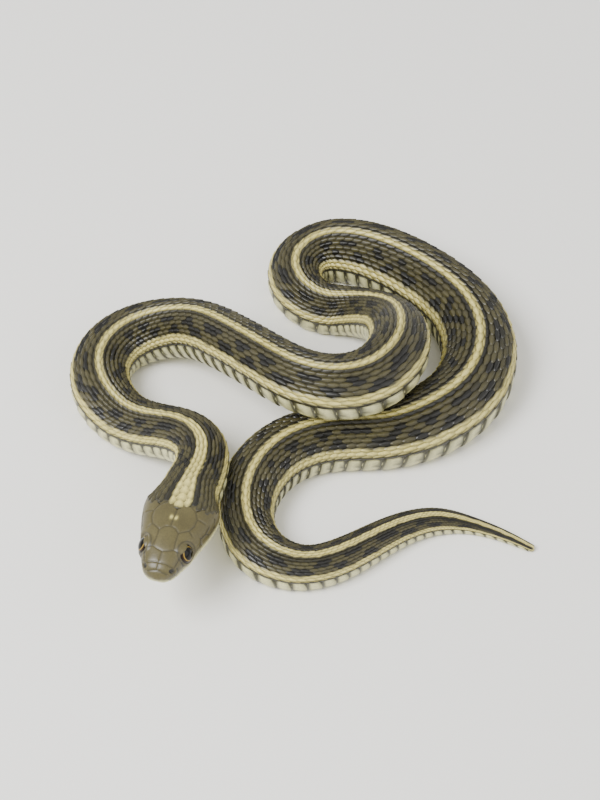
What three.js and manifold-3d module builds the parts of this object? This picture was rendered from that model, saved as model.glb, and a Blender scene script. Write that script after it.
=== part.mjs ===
// A garter snake lying in loops, as a life-size museum model. Millimetres, +Z up.
// The body is lofted along one line that is laid out on the floor and lifted where it crosses itself.
// It is parted by thin plane cuts into a head, a neck, lengths of trunk and lengths of tail.
import * as THREE from "three";
import { mergeVertices } from "three/addons/utils/BufferGeometryUtils.js";
import Module from "manifold-3d";

// The line of the body on the floor, from the tip of the snout to the tip of the tail.
const BODY_LINE = [
  [-34.6, -73.0], [-29.9, -52.0], [-28.5, -46.2], [-27.8, -43.2], [-25.7, -36.2], [-25.3, -29.2],
  [-29.6, -22.0], [-36.4, -17.0], [-43.4, -12.6], [-50.6, -5.0], [-53.1, 5.0], [-48.7, 14.2],
  [-38.5, 18.1], [-28.0, 15.3], [-18.6, 6.7], [-9.1, -3.6], [0.6, -11.2], [10.0, -13.4],
  [18.8, -10.6], [24.6, -3.2], [25.9, 6.8], [22.3, 18.1], [13.2, 25.8], [5.0, 28.6],
  [-0.3, 34.0], [-1.3, 39.3], [0.7, 44.1], [4.8, 47.1], [11.0, 47.7], [23.2, 43.6],
  [34.9, 35.2], [44.3, 23.8], [47.8, 10.0], [44.1, -2.6], [34.4, -11.7], [21.9, -16.3],
  [8.8, -17.2], [-3.6, -21.6], [-11.4, -30.6], [-13.8, -43.0], [-9.5, -53.0], [1.0, -57.0],
  [12.0, -53.3], [23.0, -46.2], [35.0, -41.6], [48.0, -43.4], [60.1, -49.2],
];
// The middle of the whole snake in plan, which becomes the origin.
const PLAN_MIDDLE = [-0.85, -7.98];

// Half the width of the body at distances along it from the snout.
const HALF_WIDTH = [
  [0, 8.1], [27, 8.1], [33, 7.8], [41, 7.2], [50, 7.3], [61, 7.1], [71, 7.4], [90, 8.2],
  [125, 8.1], [155, 8.0], [180, 8.6], [203, 8.3], [217, 7.3], [233, 6.8], [255, 7.7], [264, 7.9],
  [271, 8.6], [281, 9.1], [310, 9.8], [330, 10.3], [355, 9.8], [370, 8.9], [390, 8.7], [407, 8.4],
  [421, 7.5], [431, 7.0], [443, 5.9], [455, 5.4], [471, 4.5], [481, 3.7], [491, 2.4], [503, 1.5],
  [509, 1.0], [512, 0.5],
];

// The snake holds its neck clear of the floor, and one bend of the trunk lies on the coil below it.
const NECK_LIFT = { height: 10.6, lowersFrom: 35, downAt: 81 };
const BEND_LIFT = { height: 17, risesFrom: 94, upAt: 170, lowersFrom: 181, downAt: 239 };
const HEAD_PITCH = THREE.MathUtils.degToRad(8);
const HEAD_TILTS_OVER = 12;
const HEAD_LENGTH = 31;

// Sections across the body are given in half-widths, from the belly line up.
const WIDEST_AT = 0.72;
const BACK_RISE = 0.93;
const NECK_BACK_RISE = 0.82;
const NECK_BLENDS_OVER = 40;
const FLANK = 0.97;
const BELLY_ROUND = 0.62;
const BELLY_DEPTH = 0.828;
const BACK_ANGLES = [0, 23, 46, 68, 88];
const SCUTE_ANGLES = [96, 118, 145, 180];

// Each belly scute is a plate whose rear edge stands over the front of the next one.
// Its pitch and the most of its step are in half-widths, the step and least pitch in millimetres.
const SCUTE = { pitch: 0.56, least: 3, step: 0.35, mostStep: 0.08, fullAt: 0.35, edgeAt: 0.95 };
const CUT_GAP = 0.3;
const TAIL_TIP = 1.2;

// Where the lengths part, as distances along the body from the snout.
const NECK_ENDS = 67;
const TRUNK_CUTS = [93, 120, 153, 181, 208, 237, 262, 295, 328, 357, 389, 416];
const TAIL_CUTS = [438, 471];

// The head at distances from the snout: half-width, rise above its widest line, depth below it.
const HEAD_SECTIONS = [
  [0.0, 0.9, 0.5, 0.8], [0.35, 2.1, 1.2, 1.6], [1.2, 3.3, 2.2, 2.6], [2.6, 4.3, 3.0, 3.4],
  [5, 5.3, 3.8, 4.1], [8, 6.5, 4.6, 4.8], [11, 7.3, 5.1, 5.2], [14, 8.1, 5.5, 5.5],
  [18, 9.1, 5.8, 5.8], [22, 9.6, 6.0, 6.0], [26, 9.3, 6.2, 6.1], [29, 8.5, 6.4, 5.9],
  [31, 7.9, 6.5, 5.69],
];
const HEAD_RINGS = 22;
const HEAD_SIDES = 24;
const HEAD_RINGS_CROWD = 1.5;
const CROWN_FLATNESS = 0.82;
const CHIN_FLATNESS = 0.75;
const CROWN_ROUNDS_OVER = 8;
const SNOUT_DROP = { depth: 0.8, over: 12 };
// The line of the mouth, as depths below the head's widest line.
const MOUTH_LINE = [[-2, 1.5], [0, 1.5], [4, 2.3], [8, 2.9], [12, 3.1], [17, 3.2], [21, 2.6], [24, 1.9]];
const JAW_SET_BACK = 0.7;
const JAW_HINGE_AT = 25.5;
const JAW_SLANT = 1.5;
const UNDER_JAW = -6;
const AHEAD_OF_SNOUT = -3;
const PAST_CHEEKS = 15;
const EYE = { radius: 2.8, back: 8.2, out: 4.1, up: 1.05 };
const NOSTRIL = { radius: 0.75, back: 2.1, out: 3.75, up: 1.3 };
const BALL_SIDES = 16;
const BALL_RINGS = 10;

const wasm = await Module();
wasm.setup();

// The value at a distance of a table of rows, each a distance and its values, read as a smooth curve.
function readTable(rows, at, column = 1) {
  const last = rows.length - 1;
  if (at <= rows[0][0]) return rows[0][column];
  if (at >= rows[last][0]) return rows[last][column];
  const i = rows.findIndex((row) => row[0] > at) - 1;
  const slope = (k) => (k <= 0 || k >= last ? 0
    : (rows[k + 1][column] - rows[k - 1][column]) / (rows[k + 1][0] - rows[k - 1][0]));
  const run = rows[i + 1][0] - rows[i][0];
  const t = (at - rows[i][0]) / run;
  const keep = (1 + 2 * t) * (1 - t) ** 2;
  return rows[i][column] * keep + rows[i + 1][column] * (1 - keep)
    + run * t * (1 - t) * (slope(i) * (1 - t) - slope(i + 1) * t);
}

// Second derivatives of the natural cubic through one coordinate of the knots.
function splineBends(knots, values) {
  const n = knots.length;
  const upper = new Array(n).fill(0);
  const bends = new Array(n).fill(0);
  for (let i = 1; i < n - 1; i++) {
    const before = knots[i] - knots[i - 1];
    const after = knots[i + 1] - knots[i];
    const turn = 6 * ((values[i + 1] - values[i]) / after - (values[i] - values[i - 1]) / before);
    const pivot = 2 * (before + after) - before * upper[i - 1];
    upper[i] = after / pivot;
    bends[i] = (turn - before * bends[i - 1]) / pivot;
  }
  for (let i = n - 2; i > 0; i--) bends[i] -= upper[i] * bends[i + 1];
  return bends;
}

// A coordinate of that cubic at a parameter inside span i.
function splineValue(knots, values, bends, i, at) {
  const run = knots[i + 1] - knots[i];
  const ahead = knots[i + 1] - at;
  const behind = at - knots[i];
  return (bends[i] * ahead ** 3 + bends[i + 1] * behind ** 3) / (6 * run)
    + (values[i] / run - (bends[i] * run) / 6) * ahead
    + (values[i + 1] / run - (bends[i + 1] * run) / 6) * behind;
}

// How high the belly is held above the floor, at a distance measured on the floor.
function liftAt(planDistance) {
  const { smootherstep } = THREE.MathUtils;
  const neck = NECK_LIFT.height * (1 - smootherstep(planDistance, NECK_LIFT.lowersFrom, NECK_LIFT.downAt));
  const bend = BEND_LIFT.height * smootherstep(planDistance, BEND_LIFT.risesFrom, BEND_LIFT.upAt)
    * (1 - smootherstep(planDistance, BEND_LIFT.lowersFrom, BEND_LIFT.downAt));
  const ahead = HEAD_LENGTH + HEAD_TILTS_OVER - planDistance;
  const tilt = ahead < HEAD_TILTS_OVER ? Math.max(0, ahead) ** 2 / (2 * HEAD_TILTS_OVER)
    : ahead - HEAD_TILTS_OVER / 2;
  return neck + bend + tilt * Math.tan(HEAD_PITCH);
}

// The belly's line in space, sampled finely, with the distance along it.
function traceBody(samples = 3000) {
  const knots = [0];
  for (let i = 1; i < BODY_LINE.length; i++) {
    const [x, y] = BODY_LINE[i];
    const [px, py] = BODY_LINE[i - 1];
    knots.push(knots[i - 1] + Math.hypot(x - px, y - py));
  }
  const axes = [0, 1].map((axis) => BODY_LINE.map((point) => point[axis]));
  const bends = axes.map((values) => splineBends(knots, values));
  const points = [];
  const along = [];
  let span = 0;
  let planDistance = 0;
  for (let k = 0; k < samples; k++) {
    const at = (knots.at(-1) * k) / (samples - 1);
    while (span < knots.length - 2 && at > knots[span + 1]) span++;
    const [x, y] = axes.map((values, axis) => splineValue(knots, values, bends[axis], span, at));
    if (k) planDistance += Math.hypot(x - points[k - 1].x, y - points[k - 1].y);
    const point = new THREE.Vector3(x, y, liftAt(planDistance));
    along.push(k ? along[k - 1] + point.distanceTo(points[k - 1]) : 0);
    points.push(point);
  }
  return { points, along, length: along.at(-1) };
}

const body = traceBody();

// Position, backward direction, side and up at a distance along the body.
function frameAt(distance) {
  const k = Math.min(
    Math.max(body.along.findIndex((a) => a >= distance), 1),
    body.points.length - 2,
  );
  const share = (distance - body.along[k - 1]) / (body.along[k] - body.along[k - 1]);
  const origin = body.points[k - 1].clone().lerp(body.points[k], share);
  const before = body.points[k].clone().sub(body.points[k - 1]);
  const after = body.points[k + 1].clone().sub(body.points[k]);
  const back = before.lerp(after, share).normalize();
  const side = back.clone().cross(new THREE.Vector3(0, 0, 1)).normalize();
  return { origin, back, side, up: side.clone().cross(back) };
}

// A point of the section at an angle from the middle of the back, in half-widths.
function sectionPoint(degrees, backRise) {
  const angle = THREE.MathUtils.degToRad(degrees);
  const s = Math.sin(angle);
  const c = Math.cos(angle);
  if (degrees <= 90) return [FLANK * s, WIDEST_AT + backRise * c];
  return [s ** BELLY_ROUND, Math.max(0, WIDEST_AT - BELLY_DEPTH * Math.abs(c) ** BELLY_ROUND)];
}

// One ring of points across the body, sunk in under the scutes by their step where asked.
function bodyRing(distance, sunk) {
  const { origin, side, up } = frameAt(distance);
  const half = readTable(HALF_WIDTH, distance);
  const neckShare = 1 - THREE.MathUtils.smoothstep(distance, HEAD_LENGTH, HEAD_LENGTH + NECK_BLENDS_OVER);
  const backRise = THREE.MathUtils.lerp(BACK_RISE, NECK_BACK_RISE, neckShare);
  const step = sunk * Math.min(SCUTE.step, SCUTE.mostStep * half);
  const rightHalf = [...BACK_ANGLES, ...SCUTE_ANGLES].map((degrees) => {
    const [across, high] = sectionPoint(degrees, backRise).map((v) => v * half);
    if (degrees < 90) return [across, high];
    const floorward = high === 0 ? 1 : 0;
    return [across * (1 - (step / half) * (degrees < 180)), high + step * floorward];
  });
  const leftHalf = rightHalf.slice(1, -1).reverse().map(([across, high]) => [-across, high]);
  return [...rightHalf, ...leftHalf].map(([across, high]) =>
    origin.clone().addScaledVector(side, across).addScaledVector(up, high));
}

// A closed surface through rings of equal count, capped by a fan at each end.
function loft(rings) {
  const sides = rings[0].length;
  const vertices = rings.flat();
  const faces = [];
  for (let i = 0; i < rings.length - 1; i++) {
    for (let k = 0; k < sides; k++) {
      const a = i * sides + k;
      const b = i * sides + ((k + 1) % sides);
      faces.push(a, b, b + sides, a, b + sides, a + sides);
    }
  }
  for (const [i, turn] of [[0, true], [rings.length - 1, false]]) {
    const first = i * sides;
    const middle = rings[i].reduce((sum, p) => sum.add(p), new THREE.Vector3()).divideScalar(sides);
    const centre = vertices.push(middle) - 1;
    for (let k = 0; k < sides; k++) {
      const a = first + k;
      const b = first + ((k + 1) % sides);
      faces.push(centre, ...(turn ? [b, a] : [a, b]));
    }
  }
  const geometry = new THREE.BufferGeometry().setFromPoints(vertices);
  return geometry.setIndex(faces);
}

// Distances at which scutes begin, from the nape to the tail's tip.
function scuteStarts(from, to) {
  const starts = [from];
  while (starts.at(-1) < to) {
    const half = readTable(HALF_WIDTH, starts.at(-1));
    starts.push(starts.at(-1) + Math.max(SCUTE.least, SCUTE.pitch * half));
  }
  return starts;
}

// The length of body between two cuts: whole scutes are fitted evenly between them.
function bodyLength(from, to, isTip = false) {
  const start = from + CUT_GAP / 2;
  const end = isTip ? to - TAIL_TIP : to - CUT_GAP / 2;
  const count = scuteStarts(start, end).length - 1;
  const pitch = (end - start) / count;
  const rings = [];
  for (let i = 0; i < count; i++) {
    const at = start + i * pitch;
    rings.push(bodyRing(at, i ? 1 : 0.5));
    rings.push(bodyRing(at + SCUTE.fullAt * pitch, 0));
    rings.push(bodyRing(at + SCUTE.edgeAt * pitch, 0));
  }
  rings.push(bodyRing(end, 0.5));
  return loft(rings);
}

// A THREE geometry as a manifold solid, and back.
function toSolid(geometry) {
  const bare = geometry.clone();
  bare.deleteAttribute("normal");
  bare.deleteAttribute("uv");
  const merged = mergeVertices(bare, 1e-4);
  const mesh = new wasm.Mesh({
    numProp: 3,
    vertProperties: merged.attributes.position.array,
    triVerts: new Uint32Array(merged.index.array),
  });
  return new wasm.Manifold(mesh);
}

function toGeometry(solid) {
  const { vertProperties, triVerts } = solid.getMesh();
  return new THREE.BufferGeometry()
    .setAttribute("position", new THREE.BufferAttribute(vertProperties, 3))
    .setIndex(new THREE.BufferAttribute(triVerts, 1));
}

// Height of the head's widest line above the belly line of the neck.
function headMiddle(back) {
  const drop = SNOUT_DROP.depth * Math.max(0, 1 - back / SNOUT_DROP.over) ** 2;
  return WIDEST_AT * readTable(HALF_WIDTH, HEAD_LENGTH) - drop;
}

// The whole head about its own axis: X across, Y back from the snout, Z up from the neck's belly line.
function headForm() {
  const rings = [];
  for (let i = 0; i < HEAD_RINGS; i++) {
    const back = (HEAD_LENGTH - CUT_GAP / 2) * (i / (HEAD_RINGS - 1)) ** HEAD_RINGS_CROWD;
    const [half, rise, depth] = [1, 2, 3].map((column) => readTable(HEAD_SECTIONS, back, column));
    const blend = THREE.MathUtils.smoothstep(back, HEAD_LENGTH - CROWN_ROUNDS_OVER, HEAD_LENGTH);
    const crown = THREE.MathUtils.lerp(CROWN_FLATNESS, 1, blend);
    const ring = [];
    for (let k = 0; k < HEAD_SIDES; k++) {
      const angle = (2 * Math.PI * k) / HEAD_SIDES;
      const s = Math.sin(angle);
      const c = Math.cos(angle);
      const power = c >= 0 ? crown : CHIN_FLATNESS;
      const across = half * Math.sign(s) * Math.abs(s) ** power;
      const high = c >= 0 ? rise * c ** power : -depth * Math.abs(c) ** power;
      ring.push(new THREE.Vector3(across, back, headMiddle(back) + high));
    }
    rings.push(ring);
  }
  return toSolid(loft(rings));
}

// The space under the line of the mouth, back to the hinge of the jaw, moved down by a gap.
function underMouth(gap, setBack) {
  const outline = new THREE.Shape();
  const top = MOUTH_LINE.map(([back, depth]) => [back, headMiddle(Math.max(back, 0)) - depth - gap]);
  outline.moveTo(setBack, UNDER_JAW);
  outline.lineTo(JAW_HINGE_AT + JAW_SLANT - gap, UNDER_JAW);
  outline.lineTo(JAW_HINGE_AT - gap, top.at(-1)[1]);
  for (const [back, high] of top.reverse()) outline.lineTo(Math.max(back, setBack), high);
  const geometry = new THREE.ExtrudeGeometry(outline, { depth: 2 * PAST_CHEEKS, bevelEnabled: false });
  geometry.translate(0, 0, -PAST_CHEEKS);
  // Outline x runs back along the head, y runs up and the extrusion runs across it.
  const turn = new THREE.Matrix4().set(0, 0, 1, 0, 1, 0, 0, 0, 0, 1, 0, 0, 0, 0, 0, 1);
  return toSolid(geometry.applyMatrix4(turn));
}

function ball({ radius, back, out, up }, side, grow = 0) {
  const geometry = new THREE.SphereGeometry(radius + grow, BALL_SIDES, BALL_RINGS);
  geometry.translate(side * out, back, headMiddle(back) + up);
  return toSolid(geometry);
}

const material = (color, roughness) => new THREE.MeshStandardMaterial({ color, roughness, metalness: 0 });
const SKIN = material("#3c3a26", 0.55);
const HEAD_SKIN = material("#5a5636", 0.5);
const JAW_SKIN = material("#d8d4a0", 0.5);
const EYE_GLOSS = material("#1c1108", 0.08);

function named(name, geometry, finish) {
  const mesh = new THREE.Mesh(geometry, finish);
  mesh.name = name;
  return mesh;
}

// The head, the lower jaw and the two eyes, turned together to the head's place.
function buildHead() {
  const group = new THREE.Group();
  const whole = headForm();
  let skull = whole.subtract(underMouth(-CUT_GAP / 2, AHEAD_OF_SNOUT));
  const jaw = whole.intersect(underMouth(CUT_GAP / 2, JAW_SET_BACK));
  for (const [side, label] of [[1, "left"], [-1, "right"]]) {
    skull = skull.subtract(ball(EYE, side, CUT_GAP)).subtract(ball(NOSTRIL, side));
    group.add(named("eye_" + label, toGeometry(ball(EYE, side)), EYE_GLOSS));
  }
  group.add(named("head", toGeometry(skull), HEAD_SKIN));
  group.add(named("lower_jaw", toGeometry(jaw), JAW_SKIN));
  const { origin, back, side, up } = frameAt(HEAD_LENGTH);
  const turn = new THREE.Matrix4().makeBasis(side, back, up);
  group.quaternion.setFromRotationMatrix(turn);
  group.position.copy(origin).addScaledVector(back, -HEAD_LENGTH);
  return group;
}

function buildBody() {
  const group = new THREE.Group();
  group.add(named("neck", bodyLength(HEAD_LENGTH, NECK_ENDS), SKIN));
  [NECK_ENDS, ...TRUNK_CUTS].slice(0, -1).forEach((from, i) => {
    const name = "trunk_" + String(i + 1).padStart(2, "0");
    group.add(named(name, bodyLength(from, TRUNK_CUTS[i]), SKIN));
  });
  const tail = [TRUNK_CUTS.at(-1), ...TAIL_CUTS, body.length];
  tail.slice(0, -1).forEach((from, i) => {
    group.add(named("tail_" + (i + 1), bodyLength(from, tail[i + 1], i === tail.length - 2), SKIN));
  });
  return group;
}

const snake = new THREE.Group();
snake.add(buildHead(), buildBody());
snake.position.set(-PLAN_MIDDLE[0], -PLAN_MIDDLE[1], 0);

export default snake;
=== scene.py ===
import bpy
import numpy as np
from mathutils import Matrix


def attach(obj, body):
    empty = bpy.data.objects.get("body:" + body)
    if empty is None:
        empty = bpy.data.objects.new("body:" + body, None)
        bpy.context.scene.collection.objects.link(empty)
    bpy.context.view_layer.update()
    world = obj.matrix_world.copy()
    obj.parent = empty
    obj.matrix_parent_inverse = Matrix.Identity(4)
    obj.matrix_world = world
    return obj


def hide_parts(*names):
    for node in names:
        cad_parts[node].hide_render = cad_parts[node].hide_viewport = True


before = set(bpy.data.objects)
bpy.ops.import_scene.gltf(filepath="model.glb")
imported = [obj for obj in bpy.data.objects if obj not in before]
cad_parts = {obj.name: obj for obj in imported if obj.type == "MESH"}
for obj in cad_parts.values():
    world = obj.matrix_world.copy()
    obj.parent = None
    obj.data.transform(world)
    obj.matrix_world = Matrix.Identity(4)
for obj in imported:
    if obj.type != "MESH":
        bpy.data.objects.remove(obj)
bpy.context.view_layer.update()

# The line of the body: the belly's middle from the lips to the tip of the tail, clear of the floor
# at the neck and where one bend lies over the coil below. A place on the snake is a distance along
# it and an angle round the body, 0 on the middle of the back and half a turn on the belly's.
MM = 0.001
BODY_LINE = MM * np.array([
    (-34.6, -73.0), (-29.9, -52.0), (-28.5, -46.2), (-27.8, -43.2), (-25.7, -36.2), (-25.3, -29.2),
    (-29.6, -22.0), (-36.4, -17.0), (-43.4, -12.6), (-50.6, -5.0), (-53.1, 5.0), (-48.7, 14.2),
    (-38.5, 18.1), (-28.0, 15.3), (-18.6, 6.7), (-9.1, -3.6), (0.6, -11.2), (10.0, -13.4),
    (18.8, -10.6), (24.6, -3.2), (25.9, 6.8), (22.3, 18.1), (13.2, 25.8), (5.0, 28.6),
    (-0.3, 34.0), (-1.3, 39.3), (0.7, 44.1), (4.8, 47.1), (11.0, 47.7), (23.2, 43.6),
    (34.9, 35.2), (44.3, 23.8), (47.8, 10.0), (44.1, -2.6), (34.4, -11.7), (21.9, -16.3),
    (8.8, -17.2), (-3.6, -21.6), (-11.4, -30.6), (-13.8, -43.0), (-9.5, -53.0), (1.0, -57.0),
    (12.0, -53.3), (23.0, -46.2), (35.0, -41.6), (48.0, -43.4), (60.1, -49.2),
])
# The place in that plan which stands on the frame's origin.
PLAN_MIDDLE = MM * np.array((-0.85, -7.98))
LINE_POINTS = 3000
# Rows of (distance from the lips, half of the body's width there).
HALF_WIDTH = MM * np.array([
    (0, 8.1), (27, 8.1), (33, 7.8), (41, 7.2), (50, 7.3), (61, 7.1), (71, 7.4), (90, 8.2),
    (125, 8.1), (155, 8.0), (180, 8.6), (203, 8.3), (217, 7.3), (233, 6.8), (255, 7.7), (264, 7.9),
    (271, 8.6), (281, 9.1), (310, 9.8), (330, 10.3), (355, 9.8), (370, 8.9), (390, 8.7), (407, 8.4),
    (421, 7.5), (431, 7.0), (443, 5.9), (455, 5.4), (471, 4.5), (481, 3.7), (491, 2.4), (503, 1.5),
    (509, 1.0), (512, 0.5),
])
NECK_LIFT = {"height": 10.6 * MM, "lowers": (35 * MM, 81 * MM)}
BEND_LIFT = {"height": 17 * MM, "rises": (94 * MM, 170 * MM), "lowers": (181 * MM, 239 * MM)}
HEAD_LENGTH = 31 * MM
HEAD_PITCH = np.radians(8)
HEAD_TILTS_OVER = 12 * MM


def smoothstep(value, start, end):
    """0 before start, 1 after end, and 3t^2 - 2t^3 between them."""
    t = np.clip((value - start) / (end - start), 0, 1)
    return t * t * (3 - 2 * t)


def long_ease(value, start, end):
    """0 before start, 1 after end, and t^3 (6t^2 - 15t + 10) between them."""
    t = np.clip((value - start) / (end - start), 0, 1)
    return t**3 * (t * (6 * t - 15) + 10)


def unit(vectors):
    """The same directions, each with a length of 1."""
    return vectors / np.linalg.norm(vectors, axis=-1, keepdims=True)


def read_table(rows, at, column=1):
    """Cubic through rows of (distance, value, ...): each inner row's slope is that of the line
    between its two neighbours, and the end rows' slopes are 0."""
    x, y = rows[:, 0], rows[:, column]
    slope = np.zeros(len(x))
    slope[1:-1] = (y[2:] - y[:-2]) / (x[2:] - x[:-2])
    at = np.clip(at, x[0], x[-1])
    i = np.clip(np.searchsorted(x, at, side="right") - 1, 0, len(x) - 2)
    run = x[i + 1] - x[i]
    t = (at - x[i]) / run
    keep = (1 + 2 * t) * (1 - t) ** 2
    bend = run * t * (1 - t) * (slope[i] * (1 - t) - slope[i + 1] * t)
    return y[i] * keep + y[i + 1] * (1 - keep) + bend


def distances(points):
    """Distance along a chain of points at each of them."""
    return np.r_[0, np.cumsum(np.linalg.norm(np.diff(points, axis=0), axis=1))]


def natural_cubic(points, count):
    """The natural cubic spline through plan points, by chord length: second derivatives solve the
    usual tridiagonal system, with none at the ends."""
    knots = distances(points)
    chord = np.diff(knots)
    system = np.eye(len(points))
    turn = np.zeros_like(points)
    inner = np.arange(1, len(points) - 1)
    system[inner, inner - 1] = chord[:-1]
    system[inner, inner] = 2 * (chord[:-1] + chord[1:])
    system[inner, inner + 1] = chord[1:]
    step = np.diff(points, axis=0) / chord[:, None]
    turn[1:-1] = 6 * np.diff(step, axis=0)
    bends = np.linalg.solve(system, turn)
    at = np.linspace(0, knots[-1], count)
    i = np.clip(np.searchsorted(knots, at) - 1, 0, len(chord) - 1)
    run, ahead, behind = chord[i, None], (knots[i + 1] - at)[:, None], (at - knots[i])[:, None]
    return ((bends[i] * ahead**3 + bends[i + 1] * behind**3) / (6 * run)
            + (points[i] / run - bends[i] * run / 6) * ahead
            + (points[i + 1] / run - bends[i + 1] * run / 6) * behind)


def lift_at(plan):
    """Height of the belly at distances along the plan: long ramps for the neck and the raised
    bend, and the head's tilt, which starts as a parabola and goes on as a straight line."""
    neck = 1 - long_ease(plan, *NECK_LIFT["lowers"])
    rise = long_ease(plan, *BEND_LIFT["rises"])
    fall = long_ease(plan, *BEND_LIFT["lowers"])
    ahead = np.maximum(HEAD_LENGTH + HEAD_TILTS_OVER - plan, 0)
    starting = ahead**2 / (2 * HEAD_TILTS_OVER)
    tilt = np.where(ahead < HEAD_TILTS_OVER, starting, ahead - HEAD_TILTS_OVER / 2)
    return (NECK_LIFT["height"] * neck + BEND_LIFT["height"] * rise * (1 - fall)
            + tilt * np.tan(HEAD_PITCH))


plan_points = natural_cubic(BODY_LINE, LINE_POINTS)
spine = np.c_[plan_points - PLAN_MIDDLE, lift_at(distances(plan_points))]
spine_along = distances(spine)
spine_back = np.gradient(spine, spine_along, axis=0)
BODY_LENGTH = spine_along[-1]


def frames_at(along):
    """Belly point, backward, side and up directions at distances along the body. The head is
    straight, so ahead of its rear end they are carried forward unturned."""
    at = np.maximum(along, HEAD_LENGTH)
    origin = np.stack([np.interp(at, spine_along, axis) for axis in spine.T], -1)
    back = unit(np.stack([np.interp(at, spine_along, axis) for axis in spine_back.T], -1))
    side = unit(np.cross(back, (0, 0, 1)))
    origin = origin + back * (along - at)[..., None]
    return origin, back, side, np.cross(side, back)


# The skin: one soft sleeve from the lips to the tip of the tail, shaped by muscle and skull.
# On the head it hardens into large smooth shields, round the line of the mouth, the nostrils and
# the openings of the eyes. Behind the nape the scales grow on it and it shows only between them.
SKIN_UNDER_SCALES = 0.30 * MM
NECK_BLENDS_OVER = 40 * MM
# The body's section, in shares of its half-width, and how round it is under the widest line.
WIDEST_AT = 0.72
BACK_RISE = 0.93
NECK_BACK_RISE = 0.82
FLANK = 0.97
BELLY_DEPTH = 0.828
BELLY_ROUND = 0.62
# Rows of (distance from the lips, half-width, height over the widest line, depth under it).
HEAD_SECTIONS = MM * np.array([
    (0, 0.9, 0.5, 0.8), (0.35, 2.1, 1.2, 1.6), (1.2, 3.3, 2.2, 2.6), (2.6, 4.3, 3, 3.4),
    (5, 5.3, 3.8, 4.1), (8, 6.5, 4.6, 4.8), (11, 7.3, 5.1, 5.2), (14, 8.1, 5.5, 5.5),
    (18, 9.1, 5.8, 5.8), (22, 9.6, 6, 6), (26, 9.3, 6.2, 6.1), (29, 8.5, 6.4, 5.9),
    (31, 7.9, 6.5, 5.69),
])
CROWN_FLATNESS = 0.82
CHIN_FLATNESS = 0.75
SNOUT_DROP = 0.8 * MM
SNOUT_DROPS_OVER = 12 * MM
HEAD_ENDS = (22 * MM, 33 * MM)
TANGENT_STEP = 0.02


def head_middle(along):
    """Height of the head's widest line above the belly line: level, and falling by the square
    of the distance towards the snout."""
    drop = SNOUT_DROP * np.maximum(0, 1 - along / SNOUT_DROPS_OVER) ** 2
    return WIDEST_AT * read_table(HALF_WIDTH, HEAD_LENGTH) - drop


def section(along, angle):
    """Across and up from the belly line at an angle from the middle of the back. Body: an ellipse
    over the widest line and a flat-bottomed superellipse under it. Head: two superellipses.
    The head's shape is eased into the body's behind the jaw."""
    s, c = np.sin(angle), np.cos(angle)
    over, size = c >= 0, np.abs(c)
    half = read_table(HALF_WIDTH, along)
    neck = 1 - smoothstep(along, HEAD_LENGTH, HEAD_LENGTH + NECK_BLENDS_OVER)
    rise = BACK_RISE + (NECK_BACK_RISE - BACK_RISE) * neck
    body_across = half * FLANK * np.sign(s) * np.abs(s) ** np.where(over, 1.0, BELLY_ROUND)
    body_low = np.maximum(0, WIDEST_AT - BELLY_DEPTH * size**BELLY_ROUND)
    body_up = half * np.where(over, WIDEST_AT + rise * c, body_low)
    wide, tall, deep = (read_table(HEAD_SECTIONS, along, k) for k in (1, 2, 3))
    power = np.where(over, CROWN_FLATNESS, CHIN_FLATNESS)
    head_across = wide * np.sign(s) * np.abs(s) ** power
    head_up = head_middle(along) + np.where(over, tall, -deep) * size**power
    share = 1 - smoothstep(along, *HEAD_ENDS)
    return (body_across + (head_across - body_across) * share,
            body_up + (head_up - body_up) * share)


def section_out(along, angle):
    """Outward direction in the plane of the section: its tangent, turned a quarter turn."""
    x0, y0 = section(along, angle - TANGENT_STEP)
    x1, y1 = section(along, angle + TANGENT_STEP)
    normal = unit(np.stack([y0 - y1, x1 - x0], -1))
    return normal[..., 0], normal[..., 1]


def on_body(along, angle, height):
    """Points at a height over the body's section."""
    across, up_by = section(along, angle)
    out_across, out_up = section_out(along, angle)
    origin, _, side, up = frames_at(along)
    return (origin + side * (across + out_across * height)[..., None]
            + up * (up_by + out_up * height)[..., None])


def make_mesh(name, points, faces):
    """A smooth mesh object at the origin, from points and from arrays of faces, each array with
    its own number of corners."""
    mesh = bpy.data.meshes.new(name)
    sizes = np.concatenate([np.full(len(f), f.shape[1]) for f in faces])
    corners = np.concatenate([f.ravel() for f in faces])
    mesh.vertices.add(len(points))
    mesh.vertices.foreach_set("co", np.ascontiguousarray(points, dtype=np.float32).ravel())
    mesh.loops.add(len(corners))
    mesh.loops.foreach_set("vertex_index", corners.astype(np.int32))
    mesh.polygons.add(len(sizes))
    mesh.polygons.foreach_set("loop_start", (np.cumsum(sizes) - sizes).astype(np.int32))
    mesh.update(calc_edges=True)
    mesh.validate()
    mesh.polygons.foreach_set("use_smooth", np.full(len(mesh.polygons), True))
    made = bpy.data.objects.new(name, mesh)
    bpy.context.collection.objects.link(made)
    return made


def set_values(piece, name, values):
    """One number a vertex, or four for a group of masks."""
    kind, key = ("FLOAT_COLOR", "color") if values.ndim == 2 else ("FLOAT", "value")
    layer = piece.data.attributes.new(name, kind, "POINT")
    layer.data.foreach_set(key, values.astype(np.float32).ravel())


# How much of the map's width a whole turn round the body takes, and of its height the length.
MAP_TURN = 0.98


def unwrapped(angle, share):
    """Place on the flattened skin: across by the angle, cut along the belly, and up by the share
    of the way to the tail."""
    round_by = ((angle + np.pi) / (2 * np.pi)) % 1.0
    across = 0.5 + MAP_TURN * (round_by - 0.5)
    return np.stack(np.broadcast_arrays(across, 0.5 + MAP_TURN * (share - 0.5)), -1)


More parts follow.
